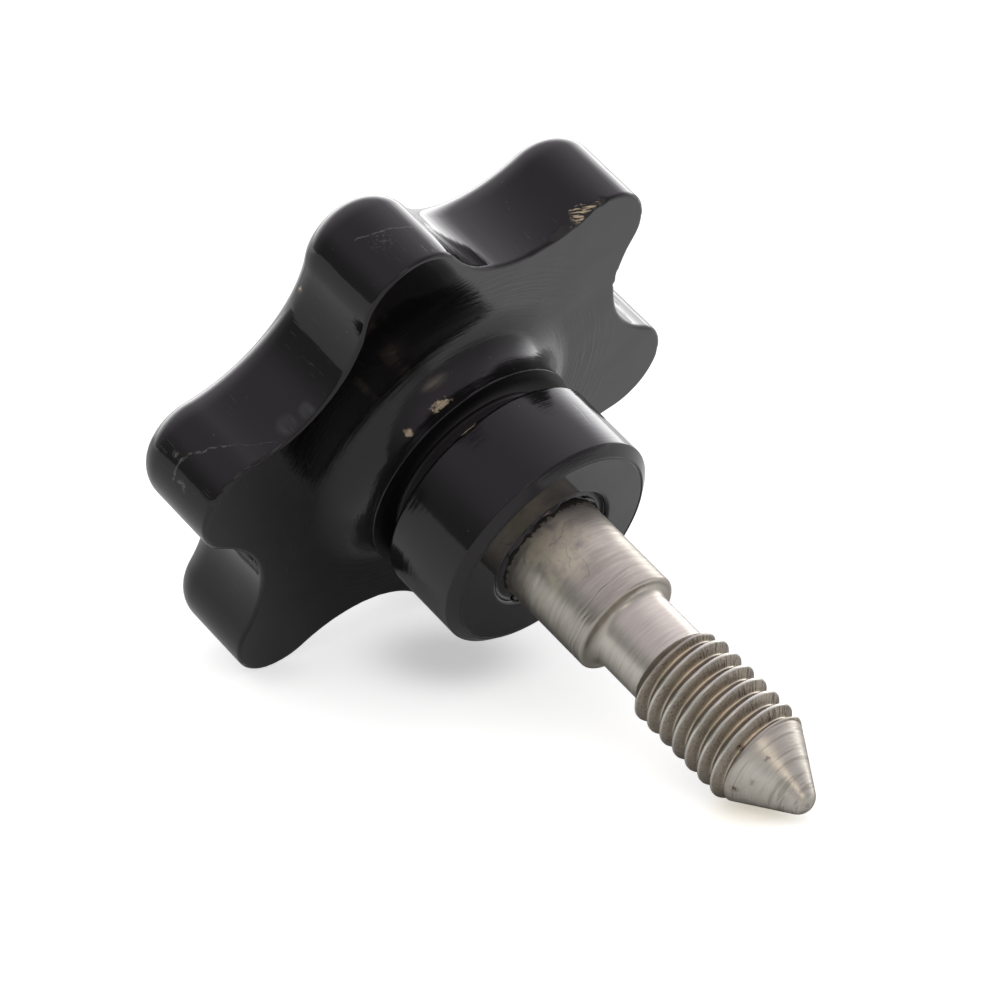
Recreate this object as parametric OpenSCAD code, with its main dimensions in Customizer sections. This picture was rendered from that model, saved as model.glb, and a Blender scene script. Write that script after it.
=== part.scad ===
// Lock knob: a six-lobe star knob moulded round a turned, threaded stud, in millimetres.
// Each piece is drawn along its own axis: the stud points along +Z and the star's front face is z = 0.
// The part is then laid down as it comes to rest, on two lobes and the last crest of the thread.

/* [Star] */
// number of lobes
lobe_count = 6; // [5:1:8]
// radius of the circle that the lobe centres lie on
lobe_circle_r = 21.5; // [18:0.1:26]
// radius of each lobe's round end
lobe_r = 5.2; // [4:0.1:7]
// radius of each scallop between two lobes
scallop_r = 10.9; // [8:0.1:14]
// thickness of the star, from its front face to its crown
star_t = 9.9; // [8:0.1:16]
// rounding along the crown's edge
crown_round = 3; // [1:0.1:4]
// rounding along the front face's edge
front_round = 0.35; // [0.1:0.05:1]

/* [Hub] */
// height of the hub's end face above the star's front face
hub_h = 14.9; // [12:0.1:24]
// diameter of the collar
collar_d = 21.9; // [18:0.1:26]
// length of the collar, from the groove to the end face
collar_len = 8.3; // [5:0.1:12]
// rounding of the collar's rim at the end face
rim_round = 0.8; // [0.2:0.1:2]
// rounding of the collar's edge at the groove
collar_back_round = 0.3; // [0.1:0.05:1]
// diameter of the neck behind the collar
neck_d = 21.6; // [17:0.1:25]
// radius of the round groove between the neck and the collar
groove_r = 1; // [0.5:0.1:1.5]
// radius of the cove from the neck to the star's front face
cove_r = 3.6; // [2:0.1:5]
// diameter of the mouth round the stud
mouth_d = 12; // [11:0.1:15]
// depth of the mouth
mouth_depth = 0.9; // [0.3:0.1:3]
// rounding of the mouth's edge
mouth_round = 0.4; // [0.1:0.05:0.6]

/* [Stud] */
// diameter of the shank
shank_d = 10.1; // [8:0.1:10.8]
// length of the shank beyond the hub's end face
shank_reach = 9.8; // [4:0.1:20]
// rounding of the shank's outer shoulder
shoulder_round = 0.35; // [0.1:0.05:0.8]
// diameter of the relief between the shank and the thread
relief_d = 7.6; // [6:0.1:8]
// length of the relief
relief_len = 5.6; // [2:0.1:12]
// radius of the fillet from the shoulder to the relief
relief_fillet = 0.8; // [0.2:0.1:0.8]
// major diameter of the thread
thread_d = 9.525; // [8.8:0.005:10.5]
// length of the thread, from the relief to the base of the cone
thread_len = 10.9; // [6:0.1:20]
// pitch of the thread
pitch = 1.5875; // [1.25:0.0125:1.75]
// angle between the cone's side and its axis
cone_half_angle = 31; // [20:1:45]
// radius of the rounded tip
tip_r = 1.5; // [0.5:0.1:2.5]

/* [Anchor] */
// diameter of the stud's anchor
anchor_d = 9.4; // [6:0.1:9.8]
// length of the anchor held inside the moulding, below the mouth
anchor_len = 17; // [10:0.5:22]
// width of the retaining groove round the anchor
anchor_groove_w = 3; // [1:0.1:5]
// depth of the retaining groove
anchor_groove_depth = 0.8; // [0.3:0.1:1.5]
// depth of the two flats that stop the stud from turning
anchor_flat_depth = 0.7; // [0.2:0.1:1.5]
// length of those flats, from the anchor's end
anchor_flat_len = 6; // [3:0.5:10]

/* [Hidden] */
$fn = 96;
// how far a cut runs past the face that it opens
overrun = 0.5;
// how far each scallop bites into its two lobes, so that the cut comes out clean
scallop_bite = 0.01;
// angle between the flanks of the thread
flank_angle = 60;
// width of the thread's crest and root, as shares of the pitch
crest_share = 0.125;
root_share = 0.25;
// steps that the helix climbs in one turn
thread_steps = 18;
// how far each step laps over the next, as a share of its angle
thread_lap_share = 0.1;
// place of the retaining groove along the anchor
anchor_groove_share = 0.45;
// inner limit of the ridges, buried in the core, as a share of the root's radius
thread_ring_share = 0.6;

// star: the centres of the scallops touch the lobes on both sides
lobe_step = 360 / lobe_count;
scallop_circle_r = lobe_circle_r * cos(lobe_step / 2)
    + sqrt(pow(lobe_r + scallop_r, 2) - pow(lobe_circle_r * sin(lobe_step / 2), 2));

// hub
collar_r = collar_d / 2;
neck_r = neck_d / 2;
mouth_r = mouth_d / 2;
collar_z = hub_h - collar_len;
groove_z = collar_z - groove_r;
mouth_z = hub_h - mouth_depth;

// stud
anchor_r = anchor_d / 2;
shank_r = shank_d / 2;
relief_r = relief_d / 2;
thread_r = thread_d / 2;
anchor_z = mouth_z - anchor_len;
anchor_groove_z = anchor_z + anchor_groove_share * anchor_len;
shank_z = hub_h + shank_reach;
thread_z = shank_z + relief_len;
cone_z = thread_z + thread_len;
crest_w = crest_share * pitch;
ridge_w = (1 - root_share) * pitch;
thread_depth = (ridge_w - crest_w) / 2 / tan(flank_angle / 2);
root_r = thread_r - thread_depth;
ring_r = thread_ring_share * root_r;
ring_w = crest_w + 2 * (thread_r - ring_r) * tan(flank_angle / 2);
apex_z = cone_z + thread_r / tan(cone_half_angle);
tip_z = apex_z - tip_r / sin(cone_half_angle);
tip_edge_r = tip_r * cos(cone_half_angle);
tip_edge_z = tip_z + tip_r * sin(cone_half_angle);
thread_step = 360 / thread_steps;
ridge_count = ceil(thread_len / pitch);
last_crest_z = cone_z - crest_w / 2;

// rest: the stud's axis dips until the thread's last crest meets the table that the two lowest lobes lie on
rest_drop = lobe_circle_r * cos(lobe_step / 2) + lobe_r - front_round - thread_r;
rest_span = cone_z + front_round;
rest_tilt = acos(-front_round / norm([rest_drop, rest_span])) - atan2(rest_span, rest_drop);
rest_h = thread_r * cos(rest_tilt) + cone_z * sin(rest_tilt);
reach_front = tip_z * cos(rest_tilt) + tip_r;
reach_back = (lobe_circle_r * cos(lobe_step / 2) + lobe_r - crown_round) * sin(rest_tilt)
    + (star_t - crown_round) * cos(rest_tilt) + crown_round;
rest_x = (reach_back - reach_front) / 2;

// The sliver between a corner at [x, z] and a rounding of radius r that lies on the side given.
// It runs past the corner by the overrun, into what it joins or out of what it cuts.
module edge_corner(x, z, r, side) {
    difference() {
        translate([x - (side[0] < 0 ? r : overrun), z - (side[1] < 0 ? r : overrun)]) square(r + overrun);
        translate([x + side[0] * r, z + side[1] * r]) circle(r);
    }
}

// Half section of one lobe, rounded at its front and crown edges.
module lobe_section() {
    difference() {
        translate([0, -star_t]) square([lobe_r, star_t]);
        edge_corner(lobe_r, 0, front_round, [-1, -1]);
        edge_corner(lobe_r, -star_t, crown_round, [-1, 1]);
    }
}

// Half section of the cutter for one scallop, flared so that the scallop's edges come out rounded.
module scallop_section() {
    cut_r = scallop_r + scallop_bite;
    translate([0, -star_t - overrun]) square([cut_r, star_t + 2 * overrun]);
    edge_corner(cut_r, 0, front_round, [1, -1]);
    edge_corner(cut_r, -star_t, crown_round, [1, 1]);
}

// Web of the star: its sides join the lobe and scallop centres, through the points where their circles touch.
module star_web() {
    polygon([
        for (i = [0 : lobe_count - 1], half = [0, 1])
            let (r = half == 0 ? lobe_circle_r : scallop_circle_r, a = (i + (1 + half) / 2) * lobe_step)
            r * [cos(a), sin(a)]
    ]);
}

module star() {
    difference() {
        union() {
            translate([0, 0, -star_t]) linear_extrude(star_t) star_web();
            for (i = [0 : lobe_count - 1])
                rotate((i + 0.5) * lobe_step) translate([lobe_circle_r, 0]) rotate_extrude() lobe_section();
        }
        for (i = [0 : lobe_count - 1])
            rotate(i * lobe_step) translate([scallop_circle_r, 0]) rotate_extrude() scallop_section();
    }
}

// Half section of the hub: cove, neck, round groove and collar. Its foot reaches into the star.
module hub_section() {
    difference() {
        union() {
            translate([0, -star_t / 2]) square([neck_r, star_t / 2 + collar_z]);
            translate([0, collar_z]) square([collar_r, collar_len]);
            edge_corner(neck_r, 0, cove_r, [1, 1]);
        }
        translate([neck_r, groove_z]) circle(groove_r);
        edge_corner(collar_r, hub_h, rim_round, [-1, -1]);
        edge_corner(collar_r, collar_z, collar_back_round, [-1, 1]);
    }
}

// The mouth round the stud, with a rounded edge.
module mouth() {
    rotate_extrude() {
        translate([0, mouth_z]) square([mouth_r, mouth_depth + overrun]);
        edge_corner(mouth_r, hub_h, mouth_round, [1, -1]);
    }
}

// The stud's anchor: a bar with a retaining groove and two flats. Its top reaches into the shank.
module anchor() {
    difference() {
        translate([0, 0, anchor_z]) cylinder(h = anchor_len + overrun, r = anchor_r);
        rotate_extrude()
            translate([anchor_r - anchor_groove_depth, anchor_groove_z])
                square([anchor_groove_depth + overrun, anchor_groove_w]);
        for (side = [0, 1])
            rotate(side * 180)
                translate([anchor_r - anchor_flat_depth, -anchor_r - overrun, anchor_z - overrun])
                    cube([anchor_flat_depth + overrun, anchor_d + 2 * overrun, anchor_flat_len + overrun]);
    }
}

// Half section of the shank and the relief. The relief reaches into the thread's core.
module shank_section() {
    difference() {
        translate([0, mouth_z]) square([shank_r, shank_z - mouth_z]);
        edge_corner(shank_r, shank_z, shoulder_round, [-1, -1]);
    }
    translate([0, shank_z - overrun]) square([relief_r, relief_len + overrun + pitch]);
    edge_corner(relief_r, shank_z, relief_fillet, [1, 1]);
}

// Half section of the thread's ridges, moved along by a share of one turn. They reach into the core.
module ridge_section(turn_share) {
    for (n = [-1 : ridge_count + 1])
        translate([0, last_crest_z + (turn_share - n) * pitch])
            polygon([
                [ring_r, -ring_w / 2], [thread_r, -crest_w / 2], [thread_r, crest_w / 2], [ring_r, ring_w / 2]
            ]);
}

// The helix: sectors of one turn, each a step further along. Sector 0 lies underneath, where the part rests.
module ridges() {
    for (k = [0 : thread_steps - 1])
        rotate((k - 0.5) * thread_step)
            rotate_extrude(angle = (1 + thread_lap_share) * thread_step) ridge_section(k / thread_steps);
}

// Half section that the threaded end is turned to: chamfered start, cone and rounded tip.
module end_section() {
    polygon([
        [0, thread_z - overrun], [relief_r - overrun, thread_z - overrun],
        [thread_r + overrun, thread_z + thread_r + overrun - relief_r],
        [thread_r + overrun, cone_z - overrun / tan(cone_half_angle)],
        [tip_edge_r, tip_edge_z], [0, tip_edge_z]
    ]);
    intersection() {
        translate([0, tip_z]) circle(tip_r);
        translate([0, tip_edge_z]) square(tip_r);
    }
}

module threaded_end() {
    intersection() {
        union() {
            translate([0, 0, thread_z - pitch]) cylinder(h = apex_z + pitch - thread_z, r = root_r);
            ridges();
        }
        rotate_extrude() end_section();
    }
}

// Lays a piece down: the stud points along +X and dips, and the table is z = 0.
module at_rest() {
    translate([rest_x, 0, rest_h]) rotate([0, 90 + rest_tilt, 0]) children();
}

module star_knob() {
    color([0.06, 0.055, 0.06]) at_rest() difference() {
        union() {
            star();
            rotate_extrude() hub_section();
        }
        mouth();
        anchor();
    }
}

module stud() {
    color([0.62, 0.6, 0.56]) at_rest() union() {
        anchor();
        rotate_extrude() shank_section();
        threaded_end();
    }
}

star_knob();
stud();
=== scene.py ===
"""Lock knob: a black moulded star knob on a turned, threaded stud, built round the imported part."""
import math

import bpy
import numpy as np
from mathutils import Matrix, Vector


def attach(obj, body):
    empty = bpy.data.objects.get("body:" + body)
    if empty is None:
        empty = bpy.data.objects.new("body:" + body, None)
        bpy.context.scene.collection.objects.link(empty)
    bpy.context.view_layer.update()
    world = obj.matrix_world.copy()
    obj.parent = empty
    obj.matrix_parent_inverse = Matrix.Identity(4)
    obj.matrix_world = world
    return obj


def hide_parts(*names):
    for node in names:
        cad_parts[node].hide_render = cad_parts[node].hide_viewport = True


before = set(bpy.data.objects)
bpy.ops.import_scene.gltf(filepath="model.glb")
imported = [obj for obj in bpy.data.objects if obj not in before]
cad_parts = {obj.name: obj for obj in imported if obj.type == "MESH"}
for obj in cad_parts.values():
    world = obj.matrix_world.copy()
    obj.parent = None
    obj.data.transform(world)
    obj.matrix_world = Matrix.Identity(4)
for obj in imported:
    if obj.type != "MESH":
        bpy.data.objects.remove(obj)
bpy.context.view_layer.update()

# Sizes of the part's source, in millimetres. Stud along +Z, star's front face at z = 0.
MM = 0.001
LOBES = 6
LOBE_CIRCLE_R = 21.5
LOBE_R = 5.2
SCALLOP_R = 10.9
STAR_T = 9.9
CROWN_ROUND = 3.0
FRONT_ROUND = 0.35
HUB_H = 14.9
COLLAR_R = 10.95
COLLAR_Z = 6.6
RIM_ROUND = 0.8
COLLAR_BACK_ROUND = 0.3
NECK_R = 10.8
GROOVE_R = 1.0
COVE_R = 3.6
MOUTH_R = 6.0
MOUTH_Z = 14.0
MOUTH_ROUND = 0.4
SHANK_R = 5.05
SHANK_Z = 24.7
SHOULDER_ROUND = 0.35
RELIEF_R = 3.8
RELIEF_FILLET = 0.8
THREAD_R = 4.7625
THREAD_Z = 30.3
CONE_Z = 41.2
PITCH = 1.5875
CREST_W = 0.125 * PITCH
ROOT_W = 0.1 * PITCH
THREAD_DEPTH = 0.3125 * PITCH / math.tan(math.radians(30))
ROOT_R = THREAD_R - THREAD_DEPTH
CONE_DEGREES = 31
CONE_HALF = math.radians(CONE_DEGREES)
CONE_SLOPE = math.tan(CONE_HALF)
TIP_R = 1.5
ANCHOR_R = 4.7
ANCHOR_Z = -3.0
ANCHOR_TOP = MOUTH_Z - 0.3
ANCHOR_GROOVE_Z = 4.65
ANCHOR_GROOVE_W = 3.0
ANCHOR_GROOVE_DEPTH = 0.8
ANCHOR_FLAT_DEPTH = 0.7
ANCHOR_FLAT_LEN = 6.0
TINY = 1e-4
SHORT_OF_90 = 88

# How the part lies at rest.
REST_TILT = math.radians(24.67878)
REST_X = -12.765061
REST_H = 21.52977
REST_TURN = math.pi / 2 + REST_TILT
LAID_DOWN = Matrix.Translation((REST_X * MM, 0, REST_H * MM)) @ Matrix.Rotation(REST_TURN, 4, "Y")
STUD_AXIS = tuple(LAID_DOWN.to_3x3() @ Vector((0, 0, 1)))

# Directions on the floor as the camera sees them.
AHEAD = (-0.706, 0.708, 0.0)
RIGHT = (0.708, 0.706, 0.0)

# Chips and nicks of the star's front edge: place on the outline, half length, bite into the face, bite down
# the wall.
EDGE_CHIPS = (
    ((-21.9, 6.5), 2.9, 0.5, 1.0),
    ((-22.9, 7.8), 1.5, 0.65, 1.9),
    ((-23.6, 9.3), 0.6, 0.5, 0.9),
    ((-20.0, 15.5), 0.5, 0.5, 0.9),
    ((-17.8, 15.3), 0.45, 0.5, 0.8),
    ((-15.9, 15.0), 0.35, 0.7, 0.9),
    ((-14.9, 15.0), 0.3, 0.45, 0.7),
    ((-13.4, 15.4), 0.7, 0.55, 0.9),
    ((-12.0, 15.9), 0.6, 0.5, 0.8),
    ((-1.4, -26.5), 0.5, 0.35, 0.5),
    ((-3.1, -25.6), 0.6, 0.4, 0.5),
    ((-4.3, -24.4), 0.6, 0.35, 0.6),
    ((-5.8, -20.8), 1.0, 0.3, 0.45),
    ((14.6, -20.3), 0.7, 0.35, 0.5),
    ((25.1, -9.2), 0.6, 0.4, 0.5),
    ((23.2, 11.9), 0.8, 0.35, 0.6),
)
EDGE_WEAR = 0.17
EDGE_WEAR_SPREAD = 0.15
CHIP_FULL = 0.12
CHIP_FALL = 0.6
CHIP_ZONE_DOWN = 2.4
CHIP_ZONE_IN = 1.5
FLAKE_LEAST = 0.35
FLAKE_SPREAD = 0.9
FLAKE_FINE_SHARE = 0.6

# Uneven lines round the part: step between draws, and seed.
WEAR_COARSE = (1.1, 3)
WEAR_FINE = (0.4, 4)
FLAKE_COARSE = (0.55, 5)
FLAKE_FINE = (0.25, 6)
CLIMB_COARSE = (1.6, 8)
CLIMB_FINE = (0.6, 9)
FILL_WAVES = (2.2, 10)
SCRAPE_COARSE = (0.8, 12)
SCRAPE_FINE = (0.35, 13)

# The uneven resin in the mouth: its level, how it climbs the shank, its sunk side, bubble and edge.
FILL_H = 0.3
FILL_WAVE_H = 0.16
CLIMB_LEAST = 0.1
CLIMB_SPREAD = 0.45
CLIMB_FINE_LEAST = 0.5
CLIMB_FROM_R = 5.6
SUNK_SIDE = 165
SUNK_SPREAD = 40
SUNK_DEPTH = 0.45
BUBBLE = (5.55, -2.05)
BUBBLE_R = 0.26
BUBBLE_DEPTH = 0.5
FILL_EDGE_R = 5.75
FILL_EDGE_W = 0.22
FILL_EDGE_H = 0.25
FILL_RADII = (5.97, 5.9, 5.8, 5.7, 5.6, 5.5, 5.4, 5.3, 5.2, 5.1, SHANK_R - 0.03)

# The slot below the collar, the collar's scraped back edge, its sloped rim with a crease inside it, and where
# the rounding of the mouth ends.
GROOVE_DEPTH = 2.6
SLOT_Z = COLLAR_Z - 2 * GROOVE_R - 0.25
SLOT_CORNER_R = 0.35
SLOT_SLOPE = ((0.6, 0.02), (GROOVE_DEPTH - SLOT_CORNER_R, 0.06))
SLOT_ROW_IN = 0.5
SLOT_ROW_DOWN = 0.2
LIP_R = 0.06
SCRAPE_SIDE = -143
SCRAPE_SPREAD = 13
SCRAPE_DEPTH = 0.07
SCRAPE_WORN = 1.3
RIM_W = 0.95
RIM_EDGE_R = 0.16
CREASE_W = 0.26
CREASE_DEPTH = 0.07
CREASE_START = -0.9
MOUTH_ARC_END = 170

# Where further rows of the moulding's mesh lie.
BACK_SHARES = (0.1, 0.4, 0.75, 0.95, 0.99)
FACE_SHARES = (0.12, 0.35, 0.6, 0.85, 0.98)
RIM_Z = HUB_H - RIM_ROUND
COLLAR_ROWS = (COLLAR_Z + 0.34, COLLAR_Z + 0.45, COLLAR_Z + 0.7, 10.0, RIM_Z - 0.2, RIM_Z - 0.05)
END_ROWS = (COLLAR_R - RIM_W - CREASE_W - 0.05, 8.4, MOUTH_R + 1.0, MOUTH_R + MOUTH_ROUND + 0.1)

# The tool's scored rings near the shank's end: height, depth, width, middle of the arc and its spread in
# degrees. They sway by a reach and a rate, either each in its own way (1) or all alike (0).
SHANK_RINGS = (
    (21.9, 0.02, 0.10, -175, 45),
    (22.4, 0.03, 0.08, -165, 50),
    (22.9, 0.05, 0.06, -150, 60),
    (23.35, 0.04, 0.10, -110, 55),
    (23.8, 0.04, 0.08, -100, 60),
)
SWAYS = ((0.12, 2.3, 1), (0.05, 11, 0))
RING_MARGIN = 0.5
RING_STEP = 0.05
RING_CLEAR = 0.02
RELIEF_CLEAR = (0.05, 0.1)

# The thread: soft crests, roots and start, rows of the mesh over one pitch, and a line at the cone's foot.
CREST_LIFT = 0.04
FLANK_LIFT = 0.05
CREST_SOFT = 0.3
ROOT_SOFT = 0.08
START_SOFT = 0.05
START_LEAD = 0.1
CONE_LINE_Z = 0.6
CONE_LINE_W = 0.09
CONE_LINE_DEPTH = 0.07
THREAD_TURNS = 8
THREAD_ROWS = (-0.5, -0.43, -0.37, -0.31, -0.23, -0.15, -0.095, -0.06, -0.03, 0,
               0.03, 0.06, 0.095, 0.15, 0.23, 0.31, 0.37, 0.43)
STUD_SIDES = 256


def arc(cx, cz, r, start, end, steps):
    """Points of an arc in a half section, angles in degrees."""
    a = np.radians(np.linspace(start, end, steps + 1))
    return [(cx + r * math.cos(t), cz + r * math.sin(t)) for t in a]


def ragged(along, total, step, seed):
    """Smooth noise from 0 to 1 along a closed line."""
    count = max(4, int(total / step))
    values = np.random.default_rng(seed).random(count)
    place = along / total * count
    low = np.floor(place).astype(int)
    share = place - low
    share = share * share * (3 - 2 * share)
    return values[low % count] * (1 - share) + values[(low + 1) % count] * share


def degrees_off(angle, middle):
    """How far each angle is from a middle in degrees, from -180 to 180."""
    return (np.degrees(angle) - middle + 180) % 360 - 180


def mesh_object(name, verts, faces, worn=None):
    """A smooth-shaded mesh laid down with the part. Worn places are kept as a value from 0 to 1 at each
    point."""
    mesh = bpy.data.meshes.new(name)
    turn = np.array(LAID_DOWN.to_3x3())
    shift = np.array(LAID_DOWN.translation)
    mesh.from_pydata((np.asarray(verts, float) * MM @ turn.T + shift).tolist(), [], faces)
    mesh.polygons.foreach_set("use_smooth", [True] * len(mesh.polygons))
    if worn is not None:
        layer = mesh.attributes.new("worn", "FLOAT", "POINT")
        layer.data.foreach_set("value", np.asarray(worn, np.float32))
    mesh.update()
    obj = bpy.data.objects.new(name, mesh)
    bpy.context.scene.collection.objects.link(obj)
    return obj


def grid_object(name, rows, worn, pole_first, pole_last):
    """A closed mesh from rings of equal length, with a pole at either end."""
    count = len(rows[0])
    i = np.arange(count)
    k = (i + 1) % count
    faces = []
    for j in range(len(rows) - 1):
        a, b = j * count, (j + 1) * count
        faces += np.stack([a + i, a + k, b + k, b + i], axis=1).tolist()
    first = len(rows) * count
    last = (len(rows) - 1) * count
    faces += np.stack([np.full(count, first), k, i], axis=1).tolist()
    faces += np.stack([np.full(count, first + 1), last + i, last + k], axis=1).tolist()
    verts = np.concatenate(rows + [np.array([pole_first, pole_last])])
    return mesh_object(name, verts, faces, np.concatenate(worn + [np.zeros(2)]))


# Star knob

def star_outline(per_lobe, per_scallop):
    """Points and outward normals once round the star's outline."""
    step = 2 * math.pi / LOBES
    half = step / 2
    scallop_circle_r = LOBE_CIRCLE_R * math.cos(half) + math.sqrt(
        (LOBE_R + SCALLOP_R) ** 2 - (LOBE_CIRCLE_R * math.sin(half)) ** 2
    )
    lobe = np.array([LOBE_CIRCLE_R * math.cos(half), LOBE_CIRCLE_R * math.sin(half)])
    touch = math.atan2(lobe[1], scallop_circle_r - lobe[0])
    reach = touch + half
    points, normals = [], []
    for n in range(LOBES):
        a = n * step
        for t in np.linspace(touch, -touch, per_scallop, endpoint=False):
            d = np.array([math.cos(a + math.pi + t), math.sin(a + math.pi + t)])
            centre = scallop_circle_r * np.array([math.cos(a), math.sin(a)])
            points.append(centre + SCALLOP_R * d)
            normals.append(-d)
        b = a + half
        for t in np.linspace(-reach, reach, per_lobe, endpoint=False):
            d = np.array([math.cos(b + t), math.sin(b + t)])
            points.append(LOBE_CIRCLE_R * np.array([math.cos(b), math.sin(b)]) + LOBE_R * d)
            normals.append(d)
    return np.array(points), np.array(normals)


def edge_bites(outline):
    """How far the front edge is worn off at each outline point: into the face, and down the wall."""
    gaps = np.linalg.norm(np.roll(outline, -1, axis=0) - outline, axis=1)
    along = np.concatenate([[0], np.cumsum(gaps)[:-1]])
    total = gaps.sum()
    uneven = ragged(along, total, *WEAR_COARSE) * ragged(along, total, *WEAR_FINE)
    wear = EDGE_WEAR + EDGE_WEAR_SPREAD * uneven
    bite_in = wear.copy()
    bite_down = wear.copy()
    coarse = ragged(along, total, *FLAKE_COARSE)
    fine = ragged(along, total, *FLAKE_FINE)
    flakes = FLAKE_LEAST + FLAKE_SPREAD * coarse * (FLAKE_FINE_SHARE + FLAKE_FINE_SHARE * fine)
    for place, half_len, into, down in EDGE_CHIPS:
        off = np.linalg.norm(outline - np.array(place), axis=1) / half_len
        depth = np.clip(1 - off * off, 0, 1) ** CHIP_FALL * flakes
        bite_in = np.maximum(bite_in, into * depth)
        bite_down = np.maximum(bite_down, down * depth)
    return bite_in, bite_down


def anchor_rows(angle):
    """Rings of the anchor from its end to its top, each a pair of radius and height."""
    flat_z = ANCHOR_Z + ANCHOR_FLAT_LEN
    groove_top = ANCHOR_GROOVE_Z + ANCHOR_GROOVE_W
    plain = np.full_like(angle, ANCHOR_R)
    sunk = plain - ANCHOR_GROOVE_DEPTH
    flat = np.minimum(plain, (ANCHOR_R - ANCHOR_FLAT_DEPTH) / np.maximum(np.abs(np.cos(angle)), TINY))
    return [
        (flat, ANCHOR_Z), (flat, flat_z), (plain, flat_z + TINY), (plain, ANCHOR_GROOVE_Z),
        (sunk, ANCHOR_GROOVE_Z + TINY), (sunk, groove_top), (plain, groove_top + TINY), (plain, ANCHOR_TOP),
    ]


def mouth_floor(angle, r):
    """Height of the uneven resin between the mouth and the stud: it climbs the shank and holds one bubble."""
    turn = (angle + math.pi) * r
    total = 2 * math.pi * r
    coarse = ragged(turn, total, *CLIMB_COARSE)
    climb = CLIMB_LEAST + CLIMB_SPREAD * coarse * (CLIMB_FINE_LEAST + ragged(turn, total, *CLIMB_FINE))
    near = max(0.0, (CLIMB_FROM_R - r) / (CLIMB_FROM_R - SHANK_R))
    sunk = SUNK_DEPTH * np.exp(-(degrees_off(angle, SUNK_SIDE) / SUNK_SPREAD) ** 2)
    z = MOUTH_Z + FILL_H - sunk + climb * near * near + FILL_WAVE_H * ragged(turn, total, *FILL_WAVES)
    off = np.hypot(r * np.cos(angle) - BUBBLE[0], r * np.sin(angle) - BUBBLE[1]) / BUBBLE_R
    z = z - BUBBLE_DEPTH * np.clip(1 - off ** 4, 0, 1)
    return z + FILL_EDGE_H * max(0.0, (r - FILL_EDGE_R) / FILL_EDGE_W) ** 2


def slot_section():
    """Half section of the cove and the slot below the collar."""
    section = arc(NECK_R + COVE_R, COVE_R, COVE_R, -90, -180, steps=14)
    section += [(NECK_R, SLOT_Z - SLOT_ROW_DOWN)]
    section += arc(NECK_R - LIP_R, SLOT_Z - LIP_R, LIP_R, 0, 90, steps=4)
    section += [(NECK_R - into, SLOT_Z + rise) for into, rise in SLOT_SLOPE]
    into, rise = SLOT_SLOPE[-1]
    section += arc(NECK_R - into, SLOT_Z + rise + SLOT_CORNER_R, SLOT_CORNER_R, 270, 180, steps=4)
    section += arc(NECK_R - into, COLLAR_Z - SLOT_CORNER_R, SLOT_CORNER_R, 180, 90, steps=4)
    return section + [(NECK_R - SLOT_ROW_IN, COLLAR_Z)]


def collar_section():
    """Half section of the collar from above its back edge to the mouth."""
    section = [(COLLAR_R, z) for z in COLLAR_ROWS]
    lean = math.degrees(math.atan2(RIM_W, RIM_ROUND))
    section += arc(COLLAR_R - RIM_EDGE_R, RIM_Z, RIM_EDGE_R, 0, lean, steps=4)
    section += arc(COLLAR_R - RIM_W, HUB_H - RIM_EDGE_R, RIM_EDGE_R, lean, 90, steps=4)
    crease = COLLAR_R - RIM_W - CREASE_W
    for t in np.linspace(CREASE_START, 1, num=9):
        dip = CREASE_DEPTH * math.cos(math.pi / 2 * t) ** 2
        section += [(crease + CREASE_W / 2 * (1 - t), HUB_H - dip)]
    section += [(r, HUB_H) for r in END_ROWS]
    section += arc(MOUTH_R + MOUTH_ROUND, HUB_H - MOUTH_ROUND, MOUTH_ROUND, 90, MOUTH_ARC_END, steps=8)
    return section


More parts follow.
